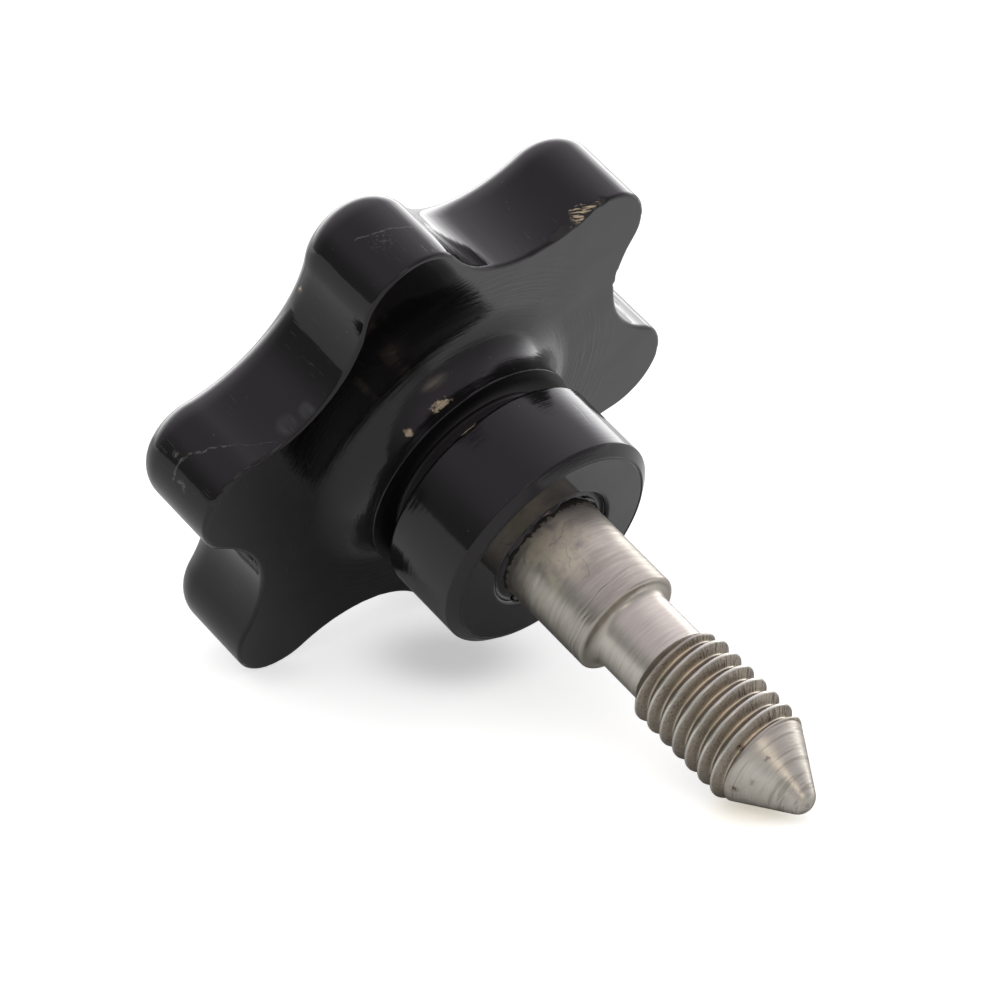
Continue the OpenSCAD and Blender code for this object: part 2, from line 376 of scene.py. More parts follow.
def build_star_knob():
    outline, normal = star_outline(per_lobe=58, per_scallop=42)
    angle = np.arctan2(outline[:, 1], outline[:, 0])
    around = np.stack([np.cos(angle), np.sin(angle)], axis=1)
    bite_in, bite_down = edge_bites(outline)
    rows, worn = [], []

    def add(points, z, wear=0.0):
        rows.append(np.column_stack([points, np.broadcast_to(z, len(points))]))
        worn.append(np.broadcast_to(np.asarray(wear, float), len(points)))

    def edge_row(inset, drop):
        left = np.clip(1 - inset / bite_in - drop / bite_down, 0, None) / 2
        points = outline - normal * (inset + left * bite_in)[:, None]
        add(points, -(drop + left * bite_down), np.clip(left * bite_down / CHIP_FULL, 0, 1))

    def round_row(r, z, wear=0.0):
        add(around * np.reshape(r, (-1, 1)), z, wear)

    for share in BACK_SHARES:
        add((outline - normal * CROWN_ROUND) * share, -STAR_T)
    for t in np.radians(np.linspace(0, 90, num=13)):
        add(outline - normal * CROWN_ROUND * (1 - math.sin(t)), -STAR_T + CROWN_ROUND * (1 - math.cos(t)))
    for z in np.linspace(-STAR_T + CROWN_ROUND, -CHIP_ZONE_DOWN, num=6)[1:-1]:
        add(outline, z)
    for drop in np.linspace(CHIP_ZONE_DOWN, FRONT_ROUND, num=16)[:-1]:
        edge_row(0.0, drop)
    for t in np.radians(np.linspace(0, 90, num=7)):
        edge_row(FRONT_ROUND * (1 - math.cos(t)), FRONT_ROUND * (1 - math.sin(t)))
    for inset in np.linspace(FRONT_ROUND, CHIP_ZONE_IN, num=11)[1:]:
        edge_row(inset, 0.0)
    edge = outline - normal * CHIP_ZONE_IN
    foot = around * (NECK_R + COVE_R)
    for share in FACE_SHARES:
        add(edge * (1 - share) + foot * share, 0.0)
    for r, z in slot_section():
        round_row(r, z)
    turn = (angle + math.pi) * COLLAR_R
    total = 2 * math.pi * COLLAR_R
    scraped = np.exp(-((np.degrees(angle) - SCRAPE_SIDE) / SCRAPE_SPREAD) ** 2)
    scraped = scraped * ragged(turn, total, *SCRAPE_COARSE)
    nibble = SCRAPE_DEPTH * scraped * ragged(turn, total, *SCRAPE_FINE)
    corner = COLLAR_R - COLLAR_BACK_ROUND
    corner_z = COLLAR_Z + COLLAR_BACK_ROUND
    for r, z in arc(corner, corner_z, COLLAR_BACK_ROUND, -SHORT_OF_90, 0, steps=6):
        share = min(1.0, (corner_z - z) / COLLAR_BACK_ROUND)
        round_row(r - nibble * share, z, np.clip(SCRAPE_WORN * scraped, 0, 1) * share)
    for r, z in collar_section():
        round_row(r, z)
    for r in FILL_RADII:
        round_row(r, mouth_floor(angle, r))
    for r, z in reversed(anchor_rows(angle)):
        round_row(r, z)
    return grid_object("star_knob_moulding", rows, worn, (0, 0, -STAR_T), (0, 0, ANCHOR_Z))


# Stud

def smooth_min(a, b, k):
    h = np.clip(0.5 + 0.5 * (b - a) / k, 0, 1)
    return b * (1 - h) + a * h - k * h * (1 - h)


def smooth_max(a, b, k):
    return -smooth_min(-a, -b, k)


def thread_surface(angle, z):
    """Radius of the threaded end at an angle and a height: helix, start chamfer and cone."""
    crest = CONE_Z - CREST_W / 2 + angle / (2 * math.pi) * PITCH
    off = np.abs((z - crest + PITCH / 2) % PITCH - PITCH / 2)
    flank = THREAD_R - (off - CREST_W / 2) * THREAD_DEPTH / (PITCH / 2 - CREST_W / 2 - ROOT_W / 2)
    r = smooth_min(np.full_like(off, THREAD_R + CREST_LIFT), flank + FLANK_LIFT, CREST_SOFT)
    r = smooth_max(r, np.full_like(off, ROOT_R), ROOT_SOFT)
    r = np.minimum(r, THREAD_R)
    start = RELIEF_R + np.maximum(z - THREAD_Z, 0)
    r = smooth_min(r, start, START_SOFT)
    cone = THREAD_R - (z - CONE_Z) * CONE_SLOPE
    line = CONE_LINE_DEPTH * np.exp(-((z - CONE_Z - CONE_LINE_Z) / CONE_LINE_W) ** 2)
    r = np.minimum(r, cone - line)
    return np.where(z < THREAD_Z - START_LEAD, RELIEF_R, np.maximum(r, np.minimum(RELIEF_R, cone)))


def shank_surface(angle, z):
    """Radius of the shank at a height, with the tool's scored rings near its end."""
    r = np.full_like(angle, SHANK_R)
    for ring_z, depth, width, middle, spread in SHANK_RINGS:
        off = degrees_off(angle, middle)
        sway = sum(reach * np.sin(rate * angle + own * ring_z) for reach, rate, own in SWAYS)
        r = r - depth * np.exp(-((z - ring_z - sway) / width) ** 2) * np.exp(-(off / spread) ** 2)
    return r


def stem_section(angle, end_z):
    """Rings of the stud below its thread, each a pair of radius and height."""
    section = anchor_rows(angle) + [(SHANK_R, ANCHOR_TOP + TINY)]
    plain_end = SHANK_RINGS[0][0] - RING_MARGIN
    section += [(SHANK_R, z) for z in np.linspace(MOUTH_Z, plain_end, num=8)]
    ring_end = SHANK_Z - SHOULDER_ROUND
    heights = np.arange(plain_end + RING_STEP, ring_end - RING_CLEAR, RING_STEP)
    section += [(shank_surface(angle, z), z) for z in heights]
    section += arc(SHANK_R - SHOULDER_ROUND, ring_end, SHOULDER_ROUND, 0, 90, steps=6)
    bend_z = SHANK_Z + RELIEF_FILLET
    section += arc(RELIEF_R + RELIEF_FILLET, bend_z, RELIEF_FILLET, -90, -180, steps=10)
    heights = np.linspace(bend_z + RELIEF_CLEAR[0], end_z - RELIEF_CLEAR[1], num=6)
    return section + [(RELIEF_R, z) for z in heights]


def build_stud():
    count = STUD_SIDES
    turns = THREAD_TURNS
    angle = np.linspace(0, 2 * math.pi, count, endpoint=False)
    verts, faces = [], []

    def ring(r, z):
        first = len(verts)
        r = np.broadcast_to(np.asarray(r, float), angle.shape)
        z = np.broadcast_to(np.asarray(z, float), angle.shape)
        verts.extend(zip(r * np.cos(angle), r * np.sin(angle), z))
        return list(range(first, first + count))

    def thread_ring(z):
        return ring(thread_surface(angle, np.broadcast_to(z, angle.shape)), z)

    def join(low, high):
        for i in range(count):
            k = (i + 1) % count
            faces.append((low[i], low[k], high[k], high[i]))

    def patch(low, high, i):
        faces.append((low[i], low[i + 1], high[i + 1], high[i]))

    low_z = CONE_Z - CREST_W / 2 + PITCH / 2 - turns * PITCH
    pole = len(verts)
    verts.append((0, 0, ANCHOR_Z))
    previous = None
    for r, z in stem_section(angle, low_z):
        row = ring(r, z)
        if previous is None:
            faces.extend((pole, row[(i + 1) % count], row[i]) for i in range(count))
        else:
            join(previous, row)
        previous = row

    # The helix: columns of rows that climb with the angle. A wedge below and one above close it to flat
    # rings.
    per = len(THREAD_ROWS)
    shares = np.append(np.array(THREAD_ROWS) + 0.5, 1.0)
    climb = angle / (2 * math.pi) * PITCH
    rows = [low_z + (n + s) * PITCH for n in range(turns) for s in shares[:per]] + [low_z + turns * PITCH]
    helix = [thread_ring(s + climb) for s in rows]
    flat_low = thread_ring(low_z)
    join(previous, flat_low)
    high_z = low_z + (turns + 1) * PITCH
    flat_high = thread_ring(high_z)
    for j in range(len(rows) - 1):
        for i in range(count - 1):
            patch(helix[j], helix[j + 1], i)
    top = len(rows) - 1 - per
    for j in range(top):
        faces.append((helix[j][-1], helix[j + per][0], helix[j + per + 1][0], helix[j + 1][-1]))
    low_grid = [flat_low]
    high_grid = [helix[-1]]
    for s in shares[1:-1]:
        low_grid.append(thread_ring(low_z + s * climb))
        high_grid.append(thread_ring(low_z + turns * PITCH + climb + s * (PITCH - climb)))
    low_grid.append(helix[0])
    high_grid.append(flat_high)
    for j in range(per):
        for i in range(count - 1):
            if i == 0:
                faces.append((low_grid[0][0], low_grid[j][1], low_grid[j + 1][1]))
            else:
                patch(low_grid[j], low_grid[j + 1], i)
            patch(high_grid[j], high_grid[j + 1], i)
        low_seam = low_grid[0][0] if j == 0 else helix[j][0]
        faces.append((low_grid[j][-1], low_seam, helix[j + 1][0], low_grid[j + 1][-1]))
        faces.append((helix[top + j][-1], high_grid[j][0], high_grid[j + 1][0], helix[top + j + 1][-1]))
    tip_z = CONE_Z + THREAD_R / CONE_SLOPE - TIP_R / math.sin(CONE_HALF)
    tip_edge_z = tip_z + TIP_R * math.sin(CONE_HALF)
    previous = flat_high
    heights = np.linspace(high_z, tip_edge_z, num=8)[1:]
    section = [(THREAD_R - (z - CONE_Z) * CONE_SLOPE, z) for z in heights]
    section += arc(0, tip_z, TIP_R, CONE_DEGREES, SHORT_OF_90, steps=9)[1:]
    for r, z in section:
        row = ring(r, z)
        join(previous, row)
        previous = row
    pole = len(verts)
    verts.append((0, 0, tip_z + TIP_R))
    faces.extend((pole, previous[i], previous[(i + 1) % count]) for i in range(count))
    return mesh_object("stud_turned", [tuple(v) for v in verts], faces)


knob = build_star_knob()
stud = build_stud()
for piece, node, slot in ((knob, "star_knob", "moulding"), (stud, "stud", "stud_steel")):
    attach(piece, "root")
    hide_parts(node)


# Materials

class Graph:
    """Short hand for a node tree. Each call returns an output socket."""

    def __init__(self, tree):
        self.tree = tree
        tree.nodes.clear()

    def node(self, kind, **settings):
        n = self.tree.nodes.new(kind)
        for key, value in settings.items():
            setattr(n, key, value)
        return n

    def plug(self, socket, value):
        if isinstance(value, bpy.types.NodeSocket):
            self.tree.links.new(value, socket)
        else:
            socket.default_value = value

    def math(self, operation, *values):
        n = self.node("ShaderNodeMath", operation=operation)
        for socket, value in zip(n.inputs, values):
            self.plug(socket, value)
        return n.outputs[0]

    def add(self, a, *others):
        for b in others:
            a = self.math("ADD", a, b)
        return a

    def times(self, a, *others):
        for b in others:
            a = self.math("MULTIPLY", a, b)
        return a

    def most(self, a, *others):
        for b in others:
            a = self.math("MAXIMUM", a, b)
        return a

    def rest(self, a):
        """What is left of 1."""
        return self.math("SUBTRACT", 1.0, a)

    def vector(self, operation, a, b, output="Vector"):
        n = self.node("ShaderNodeVectorMath", operation=operation)
        self.plug(n.inputs[0], a)
        self.plug(n.inputs[1], b)
        return n.outputs[output]

    def dot(self, a, b):
        return self.vector("DOT_PRODUCT", a, b, "Value")

    def far(self, a, b):
        return self.vector("DISTANCE", a, b, "Value")

    def band(self, value, low, high, to_low=0.0, to_high=1.0):
        """Goes smoothly from one value at low to another at high."""
        n = self.node("ShaderNodeMapRange", interpolation_type="SMOOTHSTEP")
        flip = low > high
        self.plug(n.inputs["Value"], value)
        n.inputs["From Min"].default_value = high if flip else low
        n.inputs["From Max"].default_value = low if flip else high
        n.inputs["To Min"].default_value = to_high if flip else to_low
        n.inputs["To Max"].default_value = to_low if flip else to_high
        return n.outputs["Result"]

    def spot(self, place, centre, reach, core):
        """1 within the core round a centre, less out to its reach."""
        return self.band(self.far(place, centre), reach, core)

    def join(self, x, y, z):
        n = self.node("ShaderNodeCombineXYZ")
        for socket, value in zip(n.inputs, (x, y, z)):
            self.plug(socket, value)
        return n.outputs[0]

    def split(self, vector):
        n = self.node("ShaderNodeSeparateXYZ")
        self.plug(n.inputs[0], vector)
        return n.outputs[0], n.outputs[1], n.outputs[2]

    def noise(self, vector, scale, detail=2.0, roughness=0.5):
        n = self.node("ShaderNodeTexNoise")
        self.plug(n.inputs["Vector"], vector)
        n.inputs["Scale"].default_value = scale
        n.inputs["Detail"].default_value = detail
        n.inputs["Roughness"].default_value = roughness
        return n.outputs["Fac"]

    def streaks(self, axes, scales, detail, roughness=0.5):
        """Noise over three values, each with a scale of its own."""
        drawn_out = (self.times(axis, scale) for axis, scale in zip(axes, scales))
        return self.noise(self.join(*drawn_out), 1.0, detail, roughness)

    def either_side(self, noise, reach):
        """A noise moved to go to either side of 0, over a reach."""
        return self.times(self.add(noise, -0.5), reach)

    def specks(self, vector, scale, size):
        """Small round dots, one in each cell at most."""
        n = self.node("ShaderNodeTexVoronoi")
        self.plug(n.inputs["Vector"], vector)
        n.inputs["Scale"].default_value = scale
        return self.band(n.outputs["Distance"], size, 0.5 * size)

    def mix(self, share, a, b):
        n = self.node("ShaderNodeMix", data_type="RGBA")
        self.plug(n.inputs[0], share)
        self.plug(n.inputs[6], a if isinstance(a, bpy.types.NodeSocket) else (*a, 1))
        self.plug(n.inputs[7], b if isinstance(b, bpy.types.NodeSocket) else (*b, 1))
        return n.outputs[2]

    def coats(self, color, *coats):
        """A colour under coats, each a mask, its share and its own colour."""
        for mask, share, coat in coats:
            color = self.mix(self.times(mask, share), color, coat)
        return color

    def raised(self, value, *parts):
        """A value with parts added, each a mask and its level."""
        return self.add(value, *(self.times(mask, level) for mask, level in parts))

    def relief(self, *layers):
        """A bumped normal from pairs of a height and its depth in millimetres."""
        heights = [self.times(height, depth) for height, depth in layers]
        n = self.node("ShaderNodeBump")
        n.inputs["Strength"].default_value = 1.0
        n.inputs["Distance"].default_value = MM
        self.plug(n.inputs["Height"], self.add(*heights))
        return n.outputs[0]

    def add_shaders(self, a, b):
        n = self.node("ShaderNodeAddShader")
        self.plug(n.inputs[0], a.outputs[0])
        self.plug(n.inputs[1], b.outputs[0])
        return n

    def output(self, shader, kind="ShaderNodeOutputMaterial"):
        self.plug(self.node(kind).inputs["Surface"], shader.outputs[0])


def new_material(name):
    m = bpy.data.materials.new(name)
    m.use_nodes = True
    return m, Graph(m.node_tree)


def part_space(g):
    """Place on the part in millimetres, its parts, the radius, and the way round as cosine and sine."""
    place = g.node("ShaderNodeMapping", vector_type="TEXTURE")
    g.plug(place.inputs["Vector"], g.node("ShaderNodeTexCoord").outputs["Object"])
    place.inputs["Location"].default_value = (REST_X * MM, 0, REST_H * MM)
    place.inputs["Rotation"].default_value = (0, REST_TURN, 0)
    place.inputs["Scale"].default_value = (MM, MM, MM)
    p = place.outputs[0]
    x, y, z = g.split(p)
    r = g.math("SQRT", g.add(g.times(x, x), g.times(y, y)))
    safe = g.most(r, 0.01)
    return p, x, y, z, r, g.math("DIVIDE", x, safe), g.math("DIVIDE", y, safe)


def facing(g, c, s, way):
    """1 on the side of the part that faces a way across its axis, -1 on the other side."""
    return g.add(g.times(c, way[0]), g.times(s, way[1]))


# A scratch's sway to either side, the fade past and before its ends, and the share of its width that is full.
SCRATCH_SWAY = 0.8
SCRATCH_FADE = (0.25, 0.1)
SCRATCH_FULL = 0.35


def scratch(g, p, start, end, out, width, wobble):
    """A thin line on the surface between two points; out is the way that the surface faces there."""
    start, end = Vector(start), Vector(end)
    along = (end - start).normalized()
    side = along.cross(Vector(out)).normalized()
    half_len = (end - start).length / 2
    middle = (start + end) / 2
    across = g.add(g.dot(p, tuple(side)), -start.dot(side))
    across = g.math("ABSOLUTE", g.add(across, g.either_side(wobble, SCRATCH_SWAY)))
    near = g.spot(p, tuple(middle), half_len + SCRATCH_FADE[0], half_len - SCRATCH_FADE[1])
    return g.times(g.band(across, width, SCRATCH_FULL * width), near)


def scratches(g, p, wobble, points, centre, width):
    """A chain of scratches over a rounded wall whose middle is given."""
    lines = []
    for start, end in zip(points, points[1:]):
        out = ((start[0] + end[0]) / 2 - centre[0], (start[1] + end[1]) / 2 - centre[1], 0)
        lines.append(scratch(g, p, start, end, out, width, wobble))
    return g.most(*lines)


def lobe_centre(index):
    a = math.pi / LOBES * (1 + 2 * index)
    return LOBE_CIRCLE_R * math.cos(a), LOBE_CIRCLE_R * math.sin(a)


# Wear, pale patches and painted tan glints of the moulding by place. Lobes B and C are the ones at the
# camera's left. A spot has a place, a reach and a core.
LOBE_B = lobe_centre(3)
LOBE_C = lobe_centre(4)
SCUFF_B = ((-23.28, -13.05, -3.68), 1.5, 0.3)
ARC_B = ((-22.42, -14.30, -5.20), (-22.92, -13.67, -4.88), (-23.57, -12.33, -4.38),
         (-23.82, -10.95, -4.01), (-23.76, -9.96, -3.57))
# Painted tan glint on lobe B's edge.
EDGE_B_GLINT = ((-15.13, -15.41, -7.94), 0.45, 0.15)
DENT_C = (-0.37, -26.69, -3.76)
DENT_R = 0.42
DENT_SIDE = (-0.95, 0.0, 0.31)
DOT_C = ((-2.17, -26.22, -5.79), 0.42, 0.12)
ARC_C = ((-0.31, -26.69, -4.74), (-2.07, -26.27, -5.01), (-3.10, -25.67, -4.51),
         (-3.94, -24.89, -3.81), (-4.76, -23.60, -2.94))
TAIL_C = ((-4.76, -23.60, -2.94), (-5.40, -21.92, -1.64), (-6.08, -20.68, -0.63))
# Two pale grey patches on the wall between lobes B and C.
PALE_PATCHES = (((-6.98, -19.46, -1.3), 1.2, 0.5), ((-8.48, -17.99, -0.93), 1.0, 0.4))
# Spot of the painted tan glints on the big chip of the front edge.
CHIP_GLINT_SPOT = ((-22.9, 7.8, -0.7), 1.7, 0.9)

# Single dark scratches on the collar, the face and the cove: start, end, the way the surface faces, width.
DARK_LINES = (
    ((-10.44, 3.31, 9.08), (-10.56, 2.89, 11.43), (-1, 0.3, 0), 0.09),
    ((-13.7, 6.6, 0), (-12.4, 7.0, 0), (0, 0, 1), 0.09),
    ((-4.4, 15.8, 0), (-3.2, 15.5, 0), (0, 0, 1), 0.1),
)

# Painted tan glints on the cove: angle round the part, height, half length, half width.
COVE_GLINTS = ((-143.2, 3.24, 1.0, 0.5), (-124.7, 3.02, 0.46, 0.42))

# Radii between which one kind of the moulding's surface fades into the next.
TURNED_HUB_R = (15.5, 13.0)
TURNED_FACE_R = (23.0, 15.0)
BRUSHED_WALL_R = (16.0, 18.0)
OUTSIDE_NECK_R = (11.5, 13.0)
NEAR_NECK_R = (12.0, 11.5)
IN_COVE_R = (11.6, 11.3)
IN_SLOT_R = (NECK_R + 0.1, NECK_R - 0.05)

# Heights between which it fades.
FACE_Z = (-0.3, -0.02)
SLOT_FLOOR_Z = (SLOT_Z - 0.1, SLOT_Z + 0.05)
SLOT_ROOF_Z = (COLLAR_Z + 0.15, COLLAR_Z)
COLLAR_WALL_Z = (COLLAR_Z + 0.3, COLLAR_Z + 0.8)
END_FACE_Z = (HUB_H - 0.6, HUB_H - 0.1)

# Colours of the moulding, of its wear, of two pale patches and of painted tan glints.
RESIN_DARK = (0.0034, 0.0030, 0.0034)
RESIN_LIGHT = (0.0056, 0.0051, 0.0054)
HAIR_GREY = (0.16, 0.16, 0.15)
DUST_GREY = (0.22, 0.22, 0.21)
SCUFF_GREY = (0.15, 0.16, 0.14)
LINE_GREY = (0.18, 0.19, 0.17)
PATCH_GREY = (0.055, 0.058, 0.062)
SCORED_BLACK = (0.002, 0.002, 0.002)
CHIP_BROWN = (0.022, 0.02, 0.018)
TAN_GLINT = (0.62, 0.49, 0.34)
RESIN_IOR = 1.5
RESIN_TINT = (1.0, 0.955, 1.0, 1.0)


def start_material(name):
    m, g = new_material(name)
    shader = g.node("ShaderNodeBsdfPrincipled")
    g.output(shader)
    return m, g, shader


def moulded_resin():
    m, g, shader = start_material("moulded_resin")
    p, x, y, z, r, c, s = part_space(g)
    wide = g.noise(p, scale=0.16, detail=1.0)
    wobble = g.noise(p, scale=0.9)
    fine = g.noise(p, scale=5.0, roughness=0.6)

    # Turning marks: rings on the face, the cove and the collar, broken into arcs. The walls are brushed
    # lengthwise.
    run = g.math("SUBTRACT", r, z)
    rings = g.streaks((run, c, s), (2.6, 3.0, 3.0), detail=3.0, roughness=0.7)
    brushed = g.streaks((x, y, z), (2.6, 2.6, 0.3), detail=2.0, roughness=0.6)
    face = g.band(z, *FACE_Z)
    wall = g.times(g.band(r, *BRUSHED_WALL_R), g.rest(face))
    groove = g.times(g.band(z, *SLOT_FLOOR_Z), g.band(z, *SLOT_ROOF_Z), g.band(r, *IN_SLOT_R))
    turned = g.most(g.band(r, *TURNED_HUB_R), g.times(g.band(r, *TURNED_FACE_R), face))
    turned = g.times(turned, g.rest(groove))

    # Hair scratches, dust, scuffs, two pale grey patches on the wall between lobes B and C, and longer
    # scratches.
    patchy = g.band(g.noise(p, scale=0.3, detail=1.0), 0.52, 0.66)
    hairs = g.streaks((x, y, z), (7.0, 7.0, 0.5), detail=1.0)
    hairs = g.times(g.band(hairs, 0.68, 0.74), patchy, wall)
    dust = g.times(g.specks(p, scale=1.1, size=0.07), g.band(wobble, 0.5, 0.62))
    scuff_b = g.times(g.spot(p, *SCUFF_B), g.band(fine, 0.5, 0.68))
    above_c = g.dot(g.vector("SUBTRACT", p, DENT_C), DENT_SIDE)
    ring_c = g.math("ABSOLUTE", g.add(g.far(p, DENT_C), -DENT_R))
    ring_c = g.times(g.band(ring_c, 0.3, 0.05), g.band(fine, 0.34, 0.55), g.band(above_c, -0.15, 0.2))
    dot_c = g.times(g.spot(p, *DOT_C), g.band(fine, 0.35, 0.6))
    scuffs = g.most(g.times(scuff_b, 0.4), g.times(ring_c, 0.8), g.times(dot_c, 0.8))
    pale_patch = g.times(g.most(*(g.spot(p, *spot) for spot in PALE_PATCHES)), g.band(brushed, 0.3, 0.6), wall)
    arc_b = scratches(g, p, wobble, ARC_B, LOBE_B, width=0.09)
    arc_c = scratches(g, p, wobble, ARC_C, LOBE_C, width=0.13)
    tail_c = scratches(g, p, wobble, TAIL_C, LOBE_C, width=0.06)
    broken = g.band(g.noise(p, scale=2.6), 0.3, 0.6)
    lines = g.times(g.most(arc_b, arc_c, g.times(tail_c, 0.5)), broken)
    dark_lines = g.most(*(scratch(g, p, *line, wobble) for line in DARK_LINES))

    # Painted tan glints on the real chips and the collar's scrape, on spots in the cove and on lobe B's edge.
    worn = g.node("ShaderNodeAttribute", attribute_name="worn").outputs["Fac"]
    chip = g.band(worn, 0.25, 0.9)
    near_hub = g.band(r, *NEAR_NECK_R)
    glint_zone = g.most(g.spot(p, *CHIP_GLINT_SPOT), g.times(near_hub, 0.8))
    flakes = g.streaks((run, c, s), (4.5, 44.0, 44.0), detail=3.0)
    flakes = g.times(g.band(flakes, 0.47, 0.56), glint_zone)
    ragged_edge = g.either_side(g.noise(p, scale=2.2, detail=3.0, roughness=0.7), 2.6)

    def cove_glint(degrees, height, half_len, half_width):
        """A ragged painted tan glint on the cove, drawn out along the turning marks."""
        a = math.radians(degrees)
        along = g.times(g.dot(p, (-math.sin(a), math.cos(a), 0)), 1 / half_len)
        across = g.times(g.add(z, -height), 1 / half_width)
        off = g.math("SQRT", g.add(g.times(along, along), g.times(across, across)))
        here = g.times(g.band(facing(g, c, s, (math.cos(a), math.sin(a))), 0.9, 0.95), g.band(r, *IN_COVE_R))
        return g.times(g.band(g.add(off, ragged_edge), 1.0, 0.5), here)

    streaky = g.streaks((run, c, s), (9.0, 9.0, 9.0), detail=3.0, roughness=0.7)
    # Painted tan glints on the cove.
    cove = g.times(g.most(*(cove_glint(*patch) for patch in COVE_GLINTS)), g.band(streaky, 0.3, 0.56, 0.3, 0.95))
    edge_b_glint = g.times(g.spot(p, *EDGE_B_GLINT), g.band(fine, 0.45, 0.6))
    scraped = g.times(g.band(worn, 0.2, 0.5), near_hub, g.band(fine, 0.42, 0.52))
    # All painted tan glints together.
    tan = g.most(scraped, g.times(chip, flakes), cove, edge_b_glint)

    color = g.coats(
        g.mix(wide, RESIN_DARK, RESIN_LIGHT),
        (hairs, 0.15, HAIR_GREY), (dust, 0.5, DUST_GREY), (scuffs, 0.7, SCUFF_GREY), (lines, 0.46, LINE_GREY),
        (pale_patch, 0.5, PATCH_GREY), (dark_lines, 0.9, SCORED_BLACK), (chip, 0.6, CHIP_BROWN),
        (tan, 0.9, TAN_GLINT),
    )
    g.plug(shader.inputs["Base Color"], color)
    ring_rough = g.times(turned, rings, g.band(z, *END_FACE_Z, 0.07, 0.02))
    rough = g.raised(
        g.add(g.band(wide, 0.3, 0.7, 0.05, 0.085), ring_rough),
        (hairs, 0.15), (scuffs, 0.4), (lines, 0.35), (chip, 0.35), (tan, 0.2), (groove, 0.45),
    )
    g.plug(shader.inputs["Roughness"], rough)
    shader.inputs["IOR"].default_value = RESIN_IOR
    shader.inputs["Specular Tint"].default_value = RESIN_TINT

    # The rings are shallow on the collar and the end face, and deepest on the star's face.
    depth = g.times(g.band(z, *COLLAR_WALL_Z, 1.0, 0.55), g.band(z, *END_FACE_Z, 1.0, 0.64))
    depth = g.times(depth, g.band(r, *OUTSIDE_NECK_R, 1.0, 1.8))
    normal = g.relief(
        (wide, 0.07), (g.times(rings, turned, depth), 0.024), (g.times(brushed, wall), 0.009),
        (g.times(fine, g.most(scuffs, chip)), 0.035), (g.most(lines, hairs, dark_lines), -0.006),
    )
    g.plug(shader.inputs["Normal"], normal)
    return m


# Stain, hair cracks, rust and pits of the stud by place.
STAIN = ((-3.4, -3.6, 17.4), 4.6, 1.6)
CRACKS = (
    ((-5.03, -0.40, 16.38), (-4.78, -1.62, 16.11), (-4.39, -2.48, 16.81), (-3.97, -3.12, 17.04),
     (-3.49, -3.64, 16.95)),
    ((-4.02, -3.06, 18.00), (-3.84, -3.27, 18.46), (-3.71, -3.43, 19.13), (-3.38, -3.75, 19.51)),
    ((-4.18, -2.83, 19.89), (-4.21, -2.77, 20.55), (-3.87, -3.23, 21.30), (-3.57, -3.56, 21.13)),
    ((-2.10, -4.59, 15.53), (-1.52, -4.81, 15.83), (-1.03, -4.94, 16.43)),
)
CRACK_W = 0.045
RUST = (((0.88, -3.63, 42.6), 0.55, 0.15), ((-2.35, -3.2, 41.2), 0.5, 0.1))
DARK_PIT = (-2.69, -2.21, 43.3)
FAINT_PIT = (-0.6, -3.26, 43.6)

# Colours of the stud, of its wear, and of painted light, highlight and sheen on its ends, crests and roots.
STEEL_DARK = (0.43, 0.398, 0.355)
STEEL_LIGHT = (0.60, 0.565, 0.515)
STEEL_CLOUD = (0.52, 0.48, 0.40)
# Painted light: the relief and the cone are painted lighter.
STEEL_PAINTED_LIGHT = (0.86, 0.81, 0.735)
LATHE_BROWN = (0.30, 0.27, 0.23)
STAIN_TAN = (0.84, 0.77, 0.60)
FLANK_GREY = (0.45, 0.395, 0.325)
SPECKLE_BROWN = (0.21, 0.175, 0.14)
# Painted sheen in the thread's roots.
ROOT_PAINTED_SHEEN = (0.86, 0.75, 0.55)
# Painted highlight on the thread's crests.
CREST_PAINTED_HIGHLIGHT = (0.80, 0.79, 0.73)
TICK_BLACK = (0.07, 0.055, 0.045)
CRACK_BROWN = (0.16, 0.14, 0.10)
TIDE_BLACK = (0.03, 0.026, 0.02)
RUST_BROWN = (0.09, 0.035, 0.02)
PIT_GREY = (0.14, 0.12, 0.11)
STEEL_TINT = (0.5, 0.5, 0.51, 1.0)
# The way that the side with the strongest painted sheen in the roots faces.
SHEEN_WAY = (-0.8, -0.6)
RING_LEAN = 0.35

# Heights between which one kind of the stud's surface fades into the next.
TIDE_Z = (MOUTH_Z + 0.5, MOUTH_Z + 0.35)
DULL_Z = (MOUTH_Z + 4.5, MOUTH_Z + 0.5)
ON_SHANK_Z = (SHANK_Z + 0.05, SHANK_Z - 0.1)
# Heights where the painted light of the relief and the cone begins.
PAINTED_LIGHT_Z = (SHANK_Z + 0.1, SHANK_Z + 0.9)
THREAD_START_Z = (THREAD_Z - 0.1, THREAD_Z + 0.3)
THREAD_END_Z = (CONE_Z + 1.2, CONE_Z + 0.6)
LATHE_Z = (CONE_Z + 0.9, CONE_Z + 1.4)
DEEP_RINGS_Z = (CONE_Z + 0.3, CONE_Z + 0.9)
DEEP_FINE_Z = (CONE_Z, CONE_Z + 0.5)

# Radii between which the painted highlight of the thread's crests and the painted sheen of its roots fade.
CREST_R = (THREAD_R - 0.08, THREAD_R - 0.02)
NEAR_ROOT_R = (ROOT_R + 0.3, ROOT_R + 0.03)


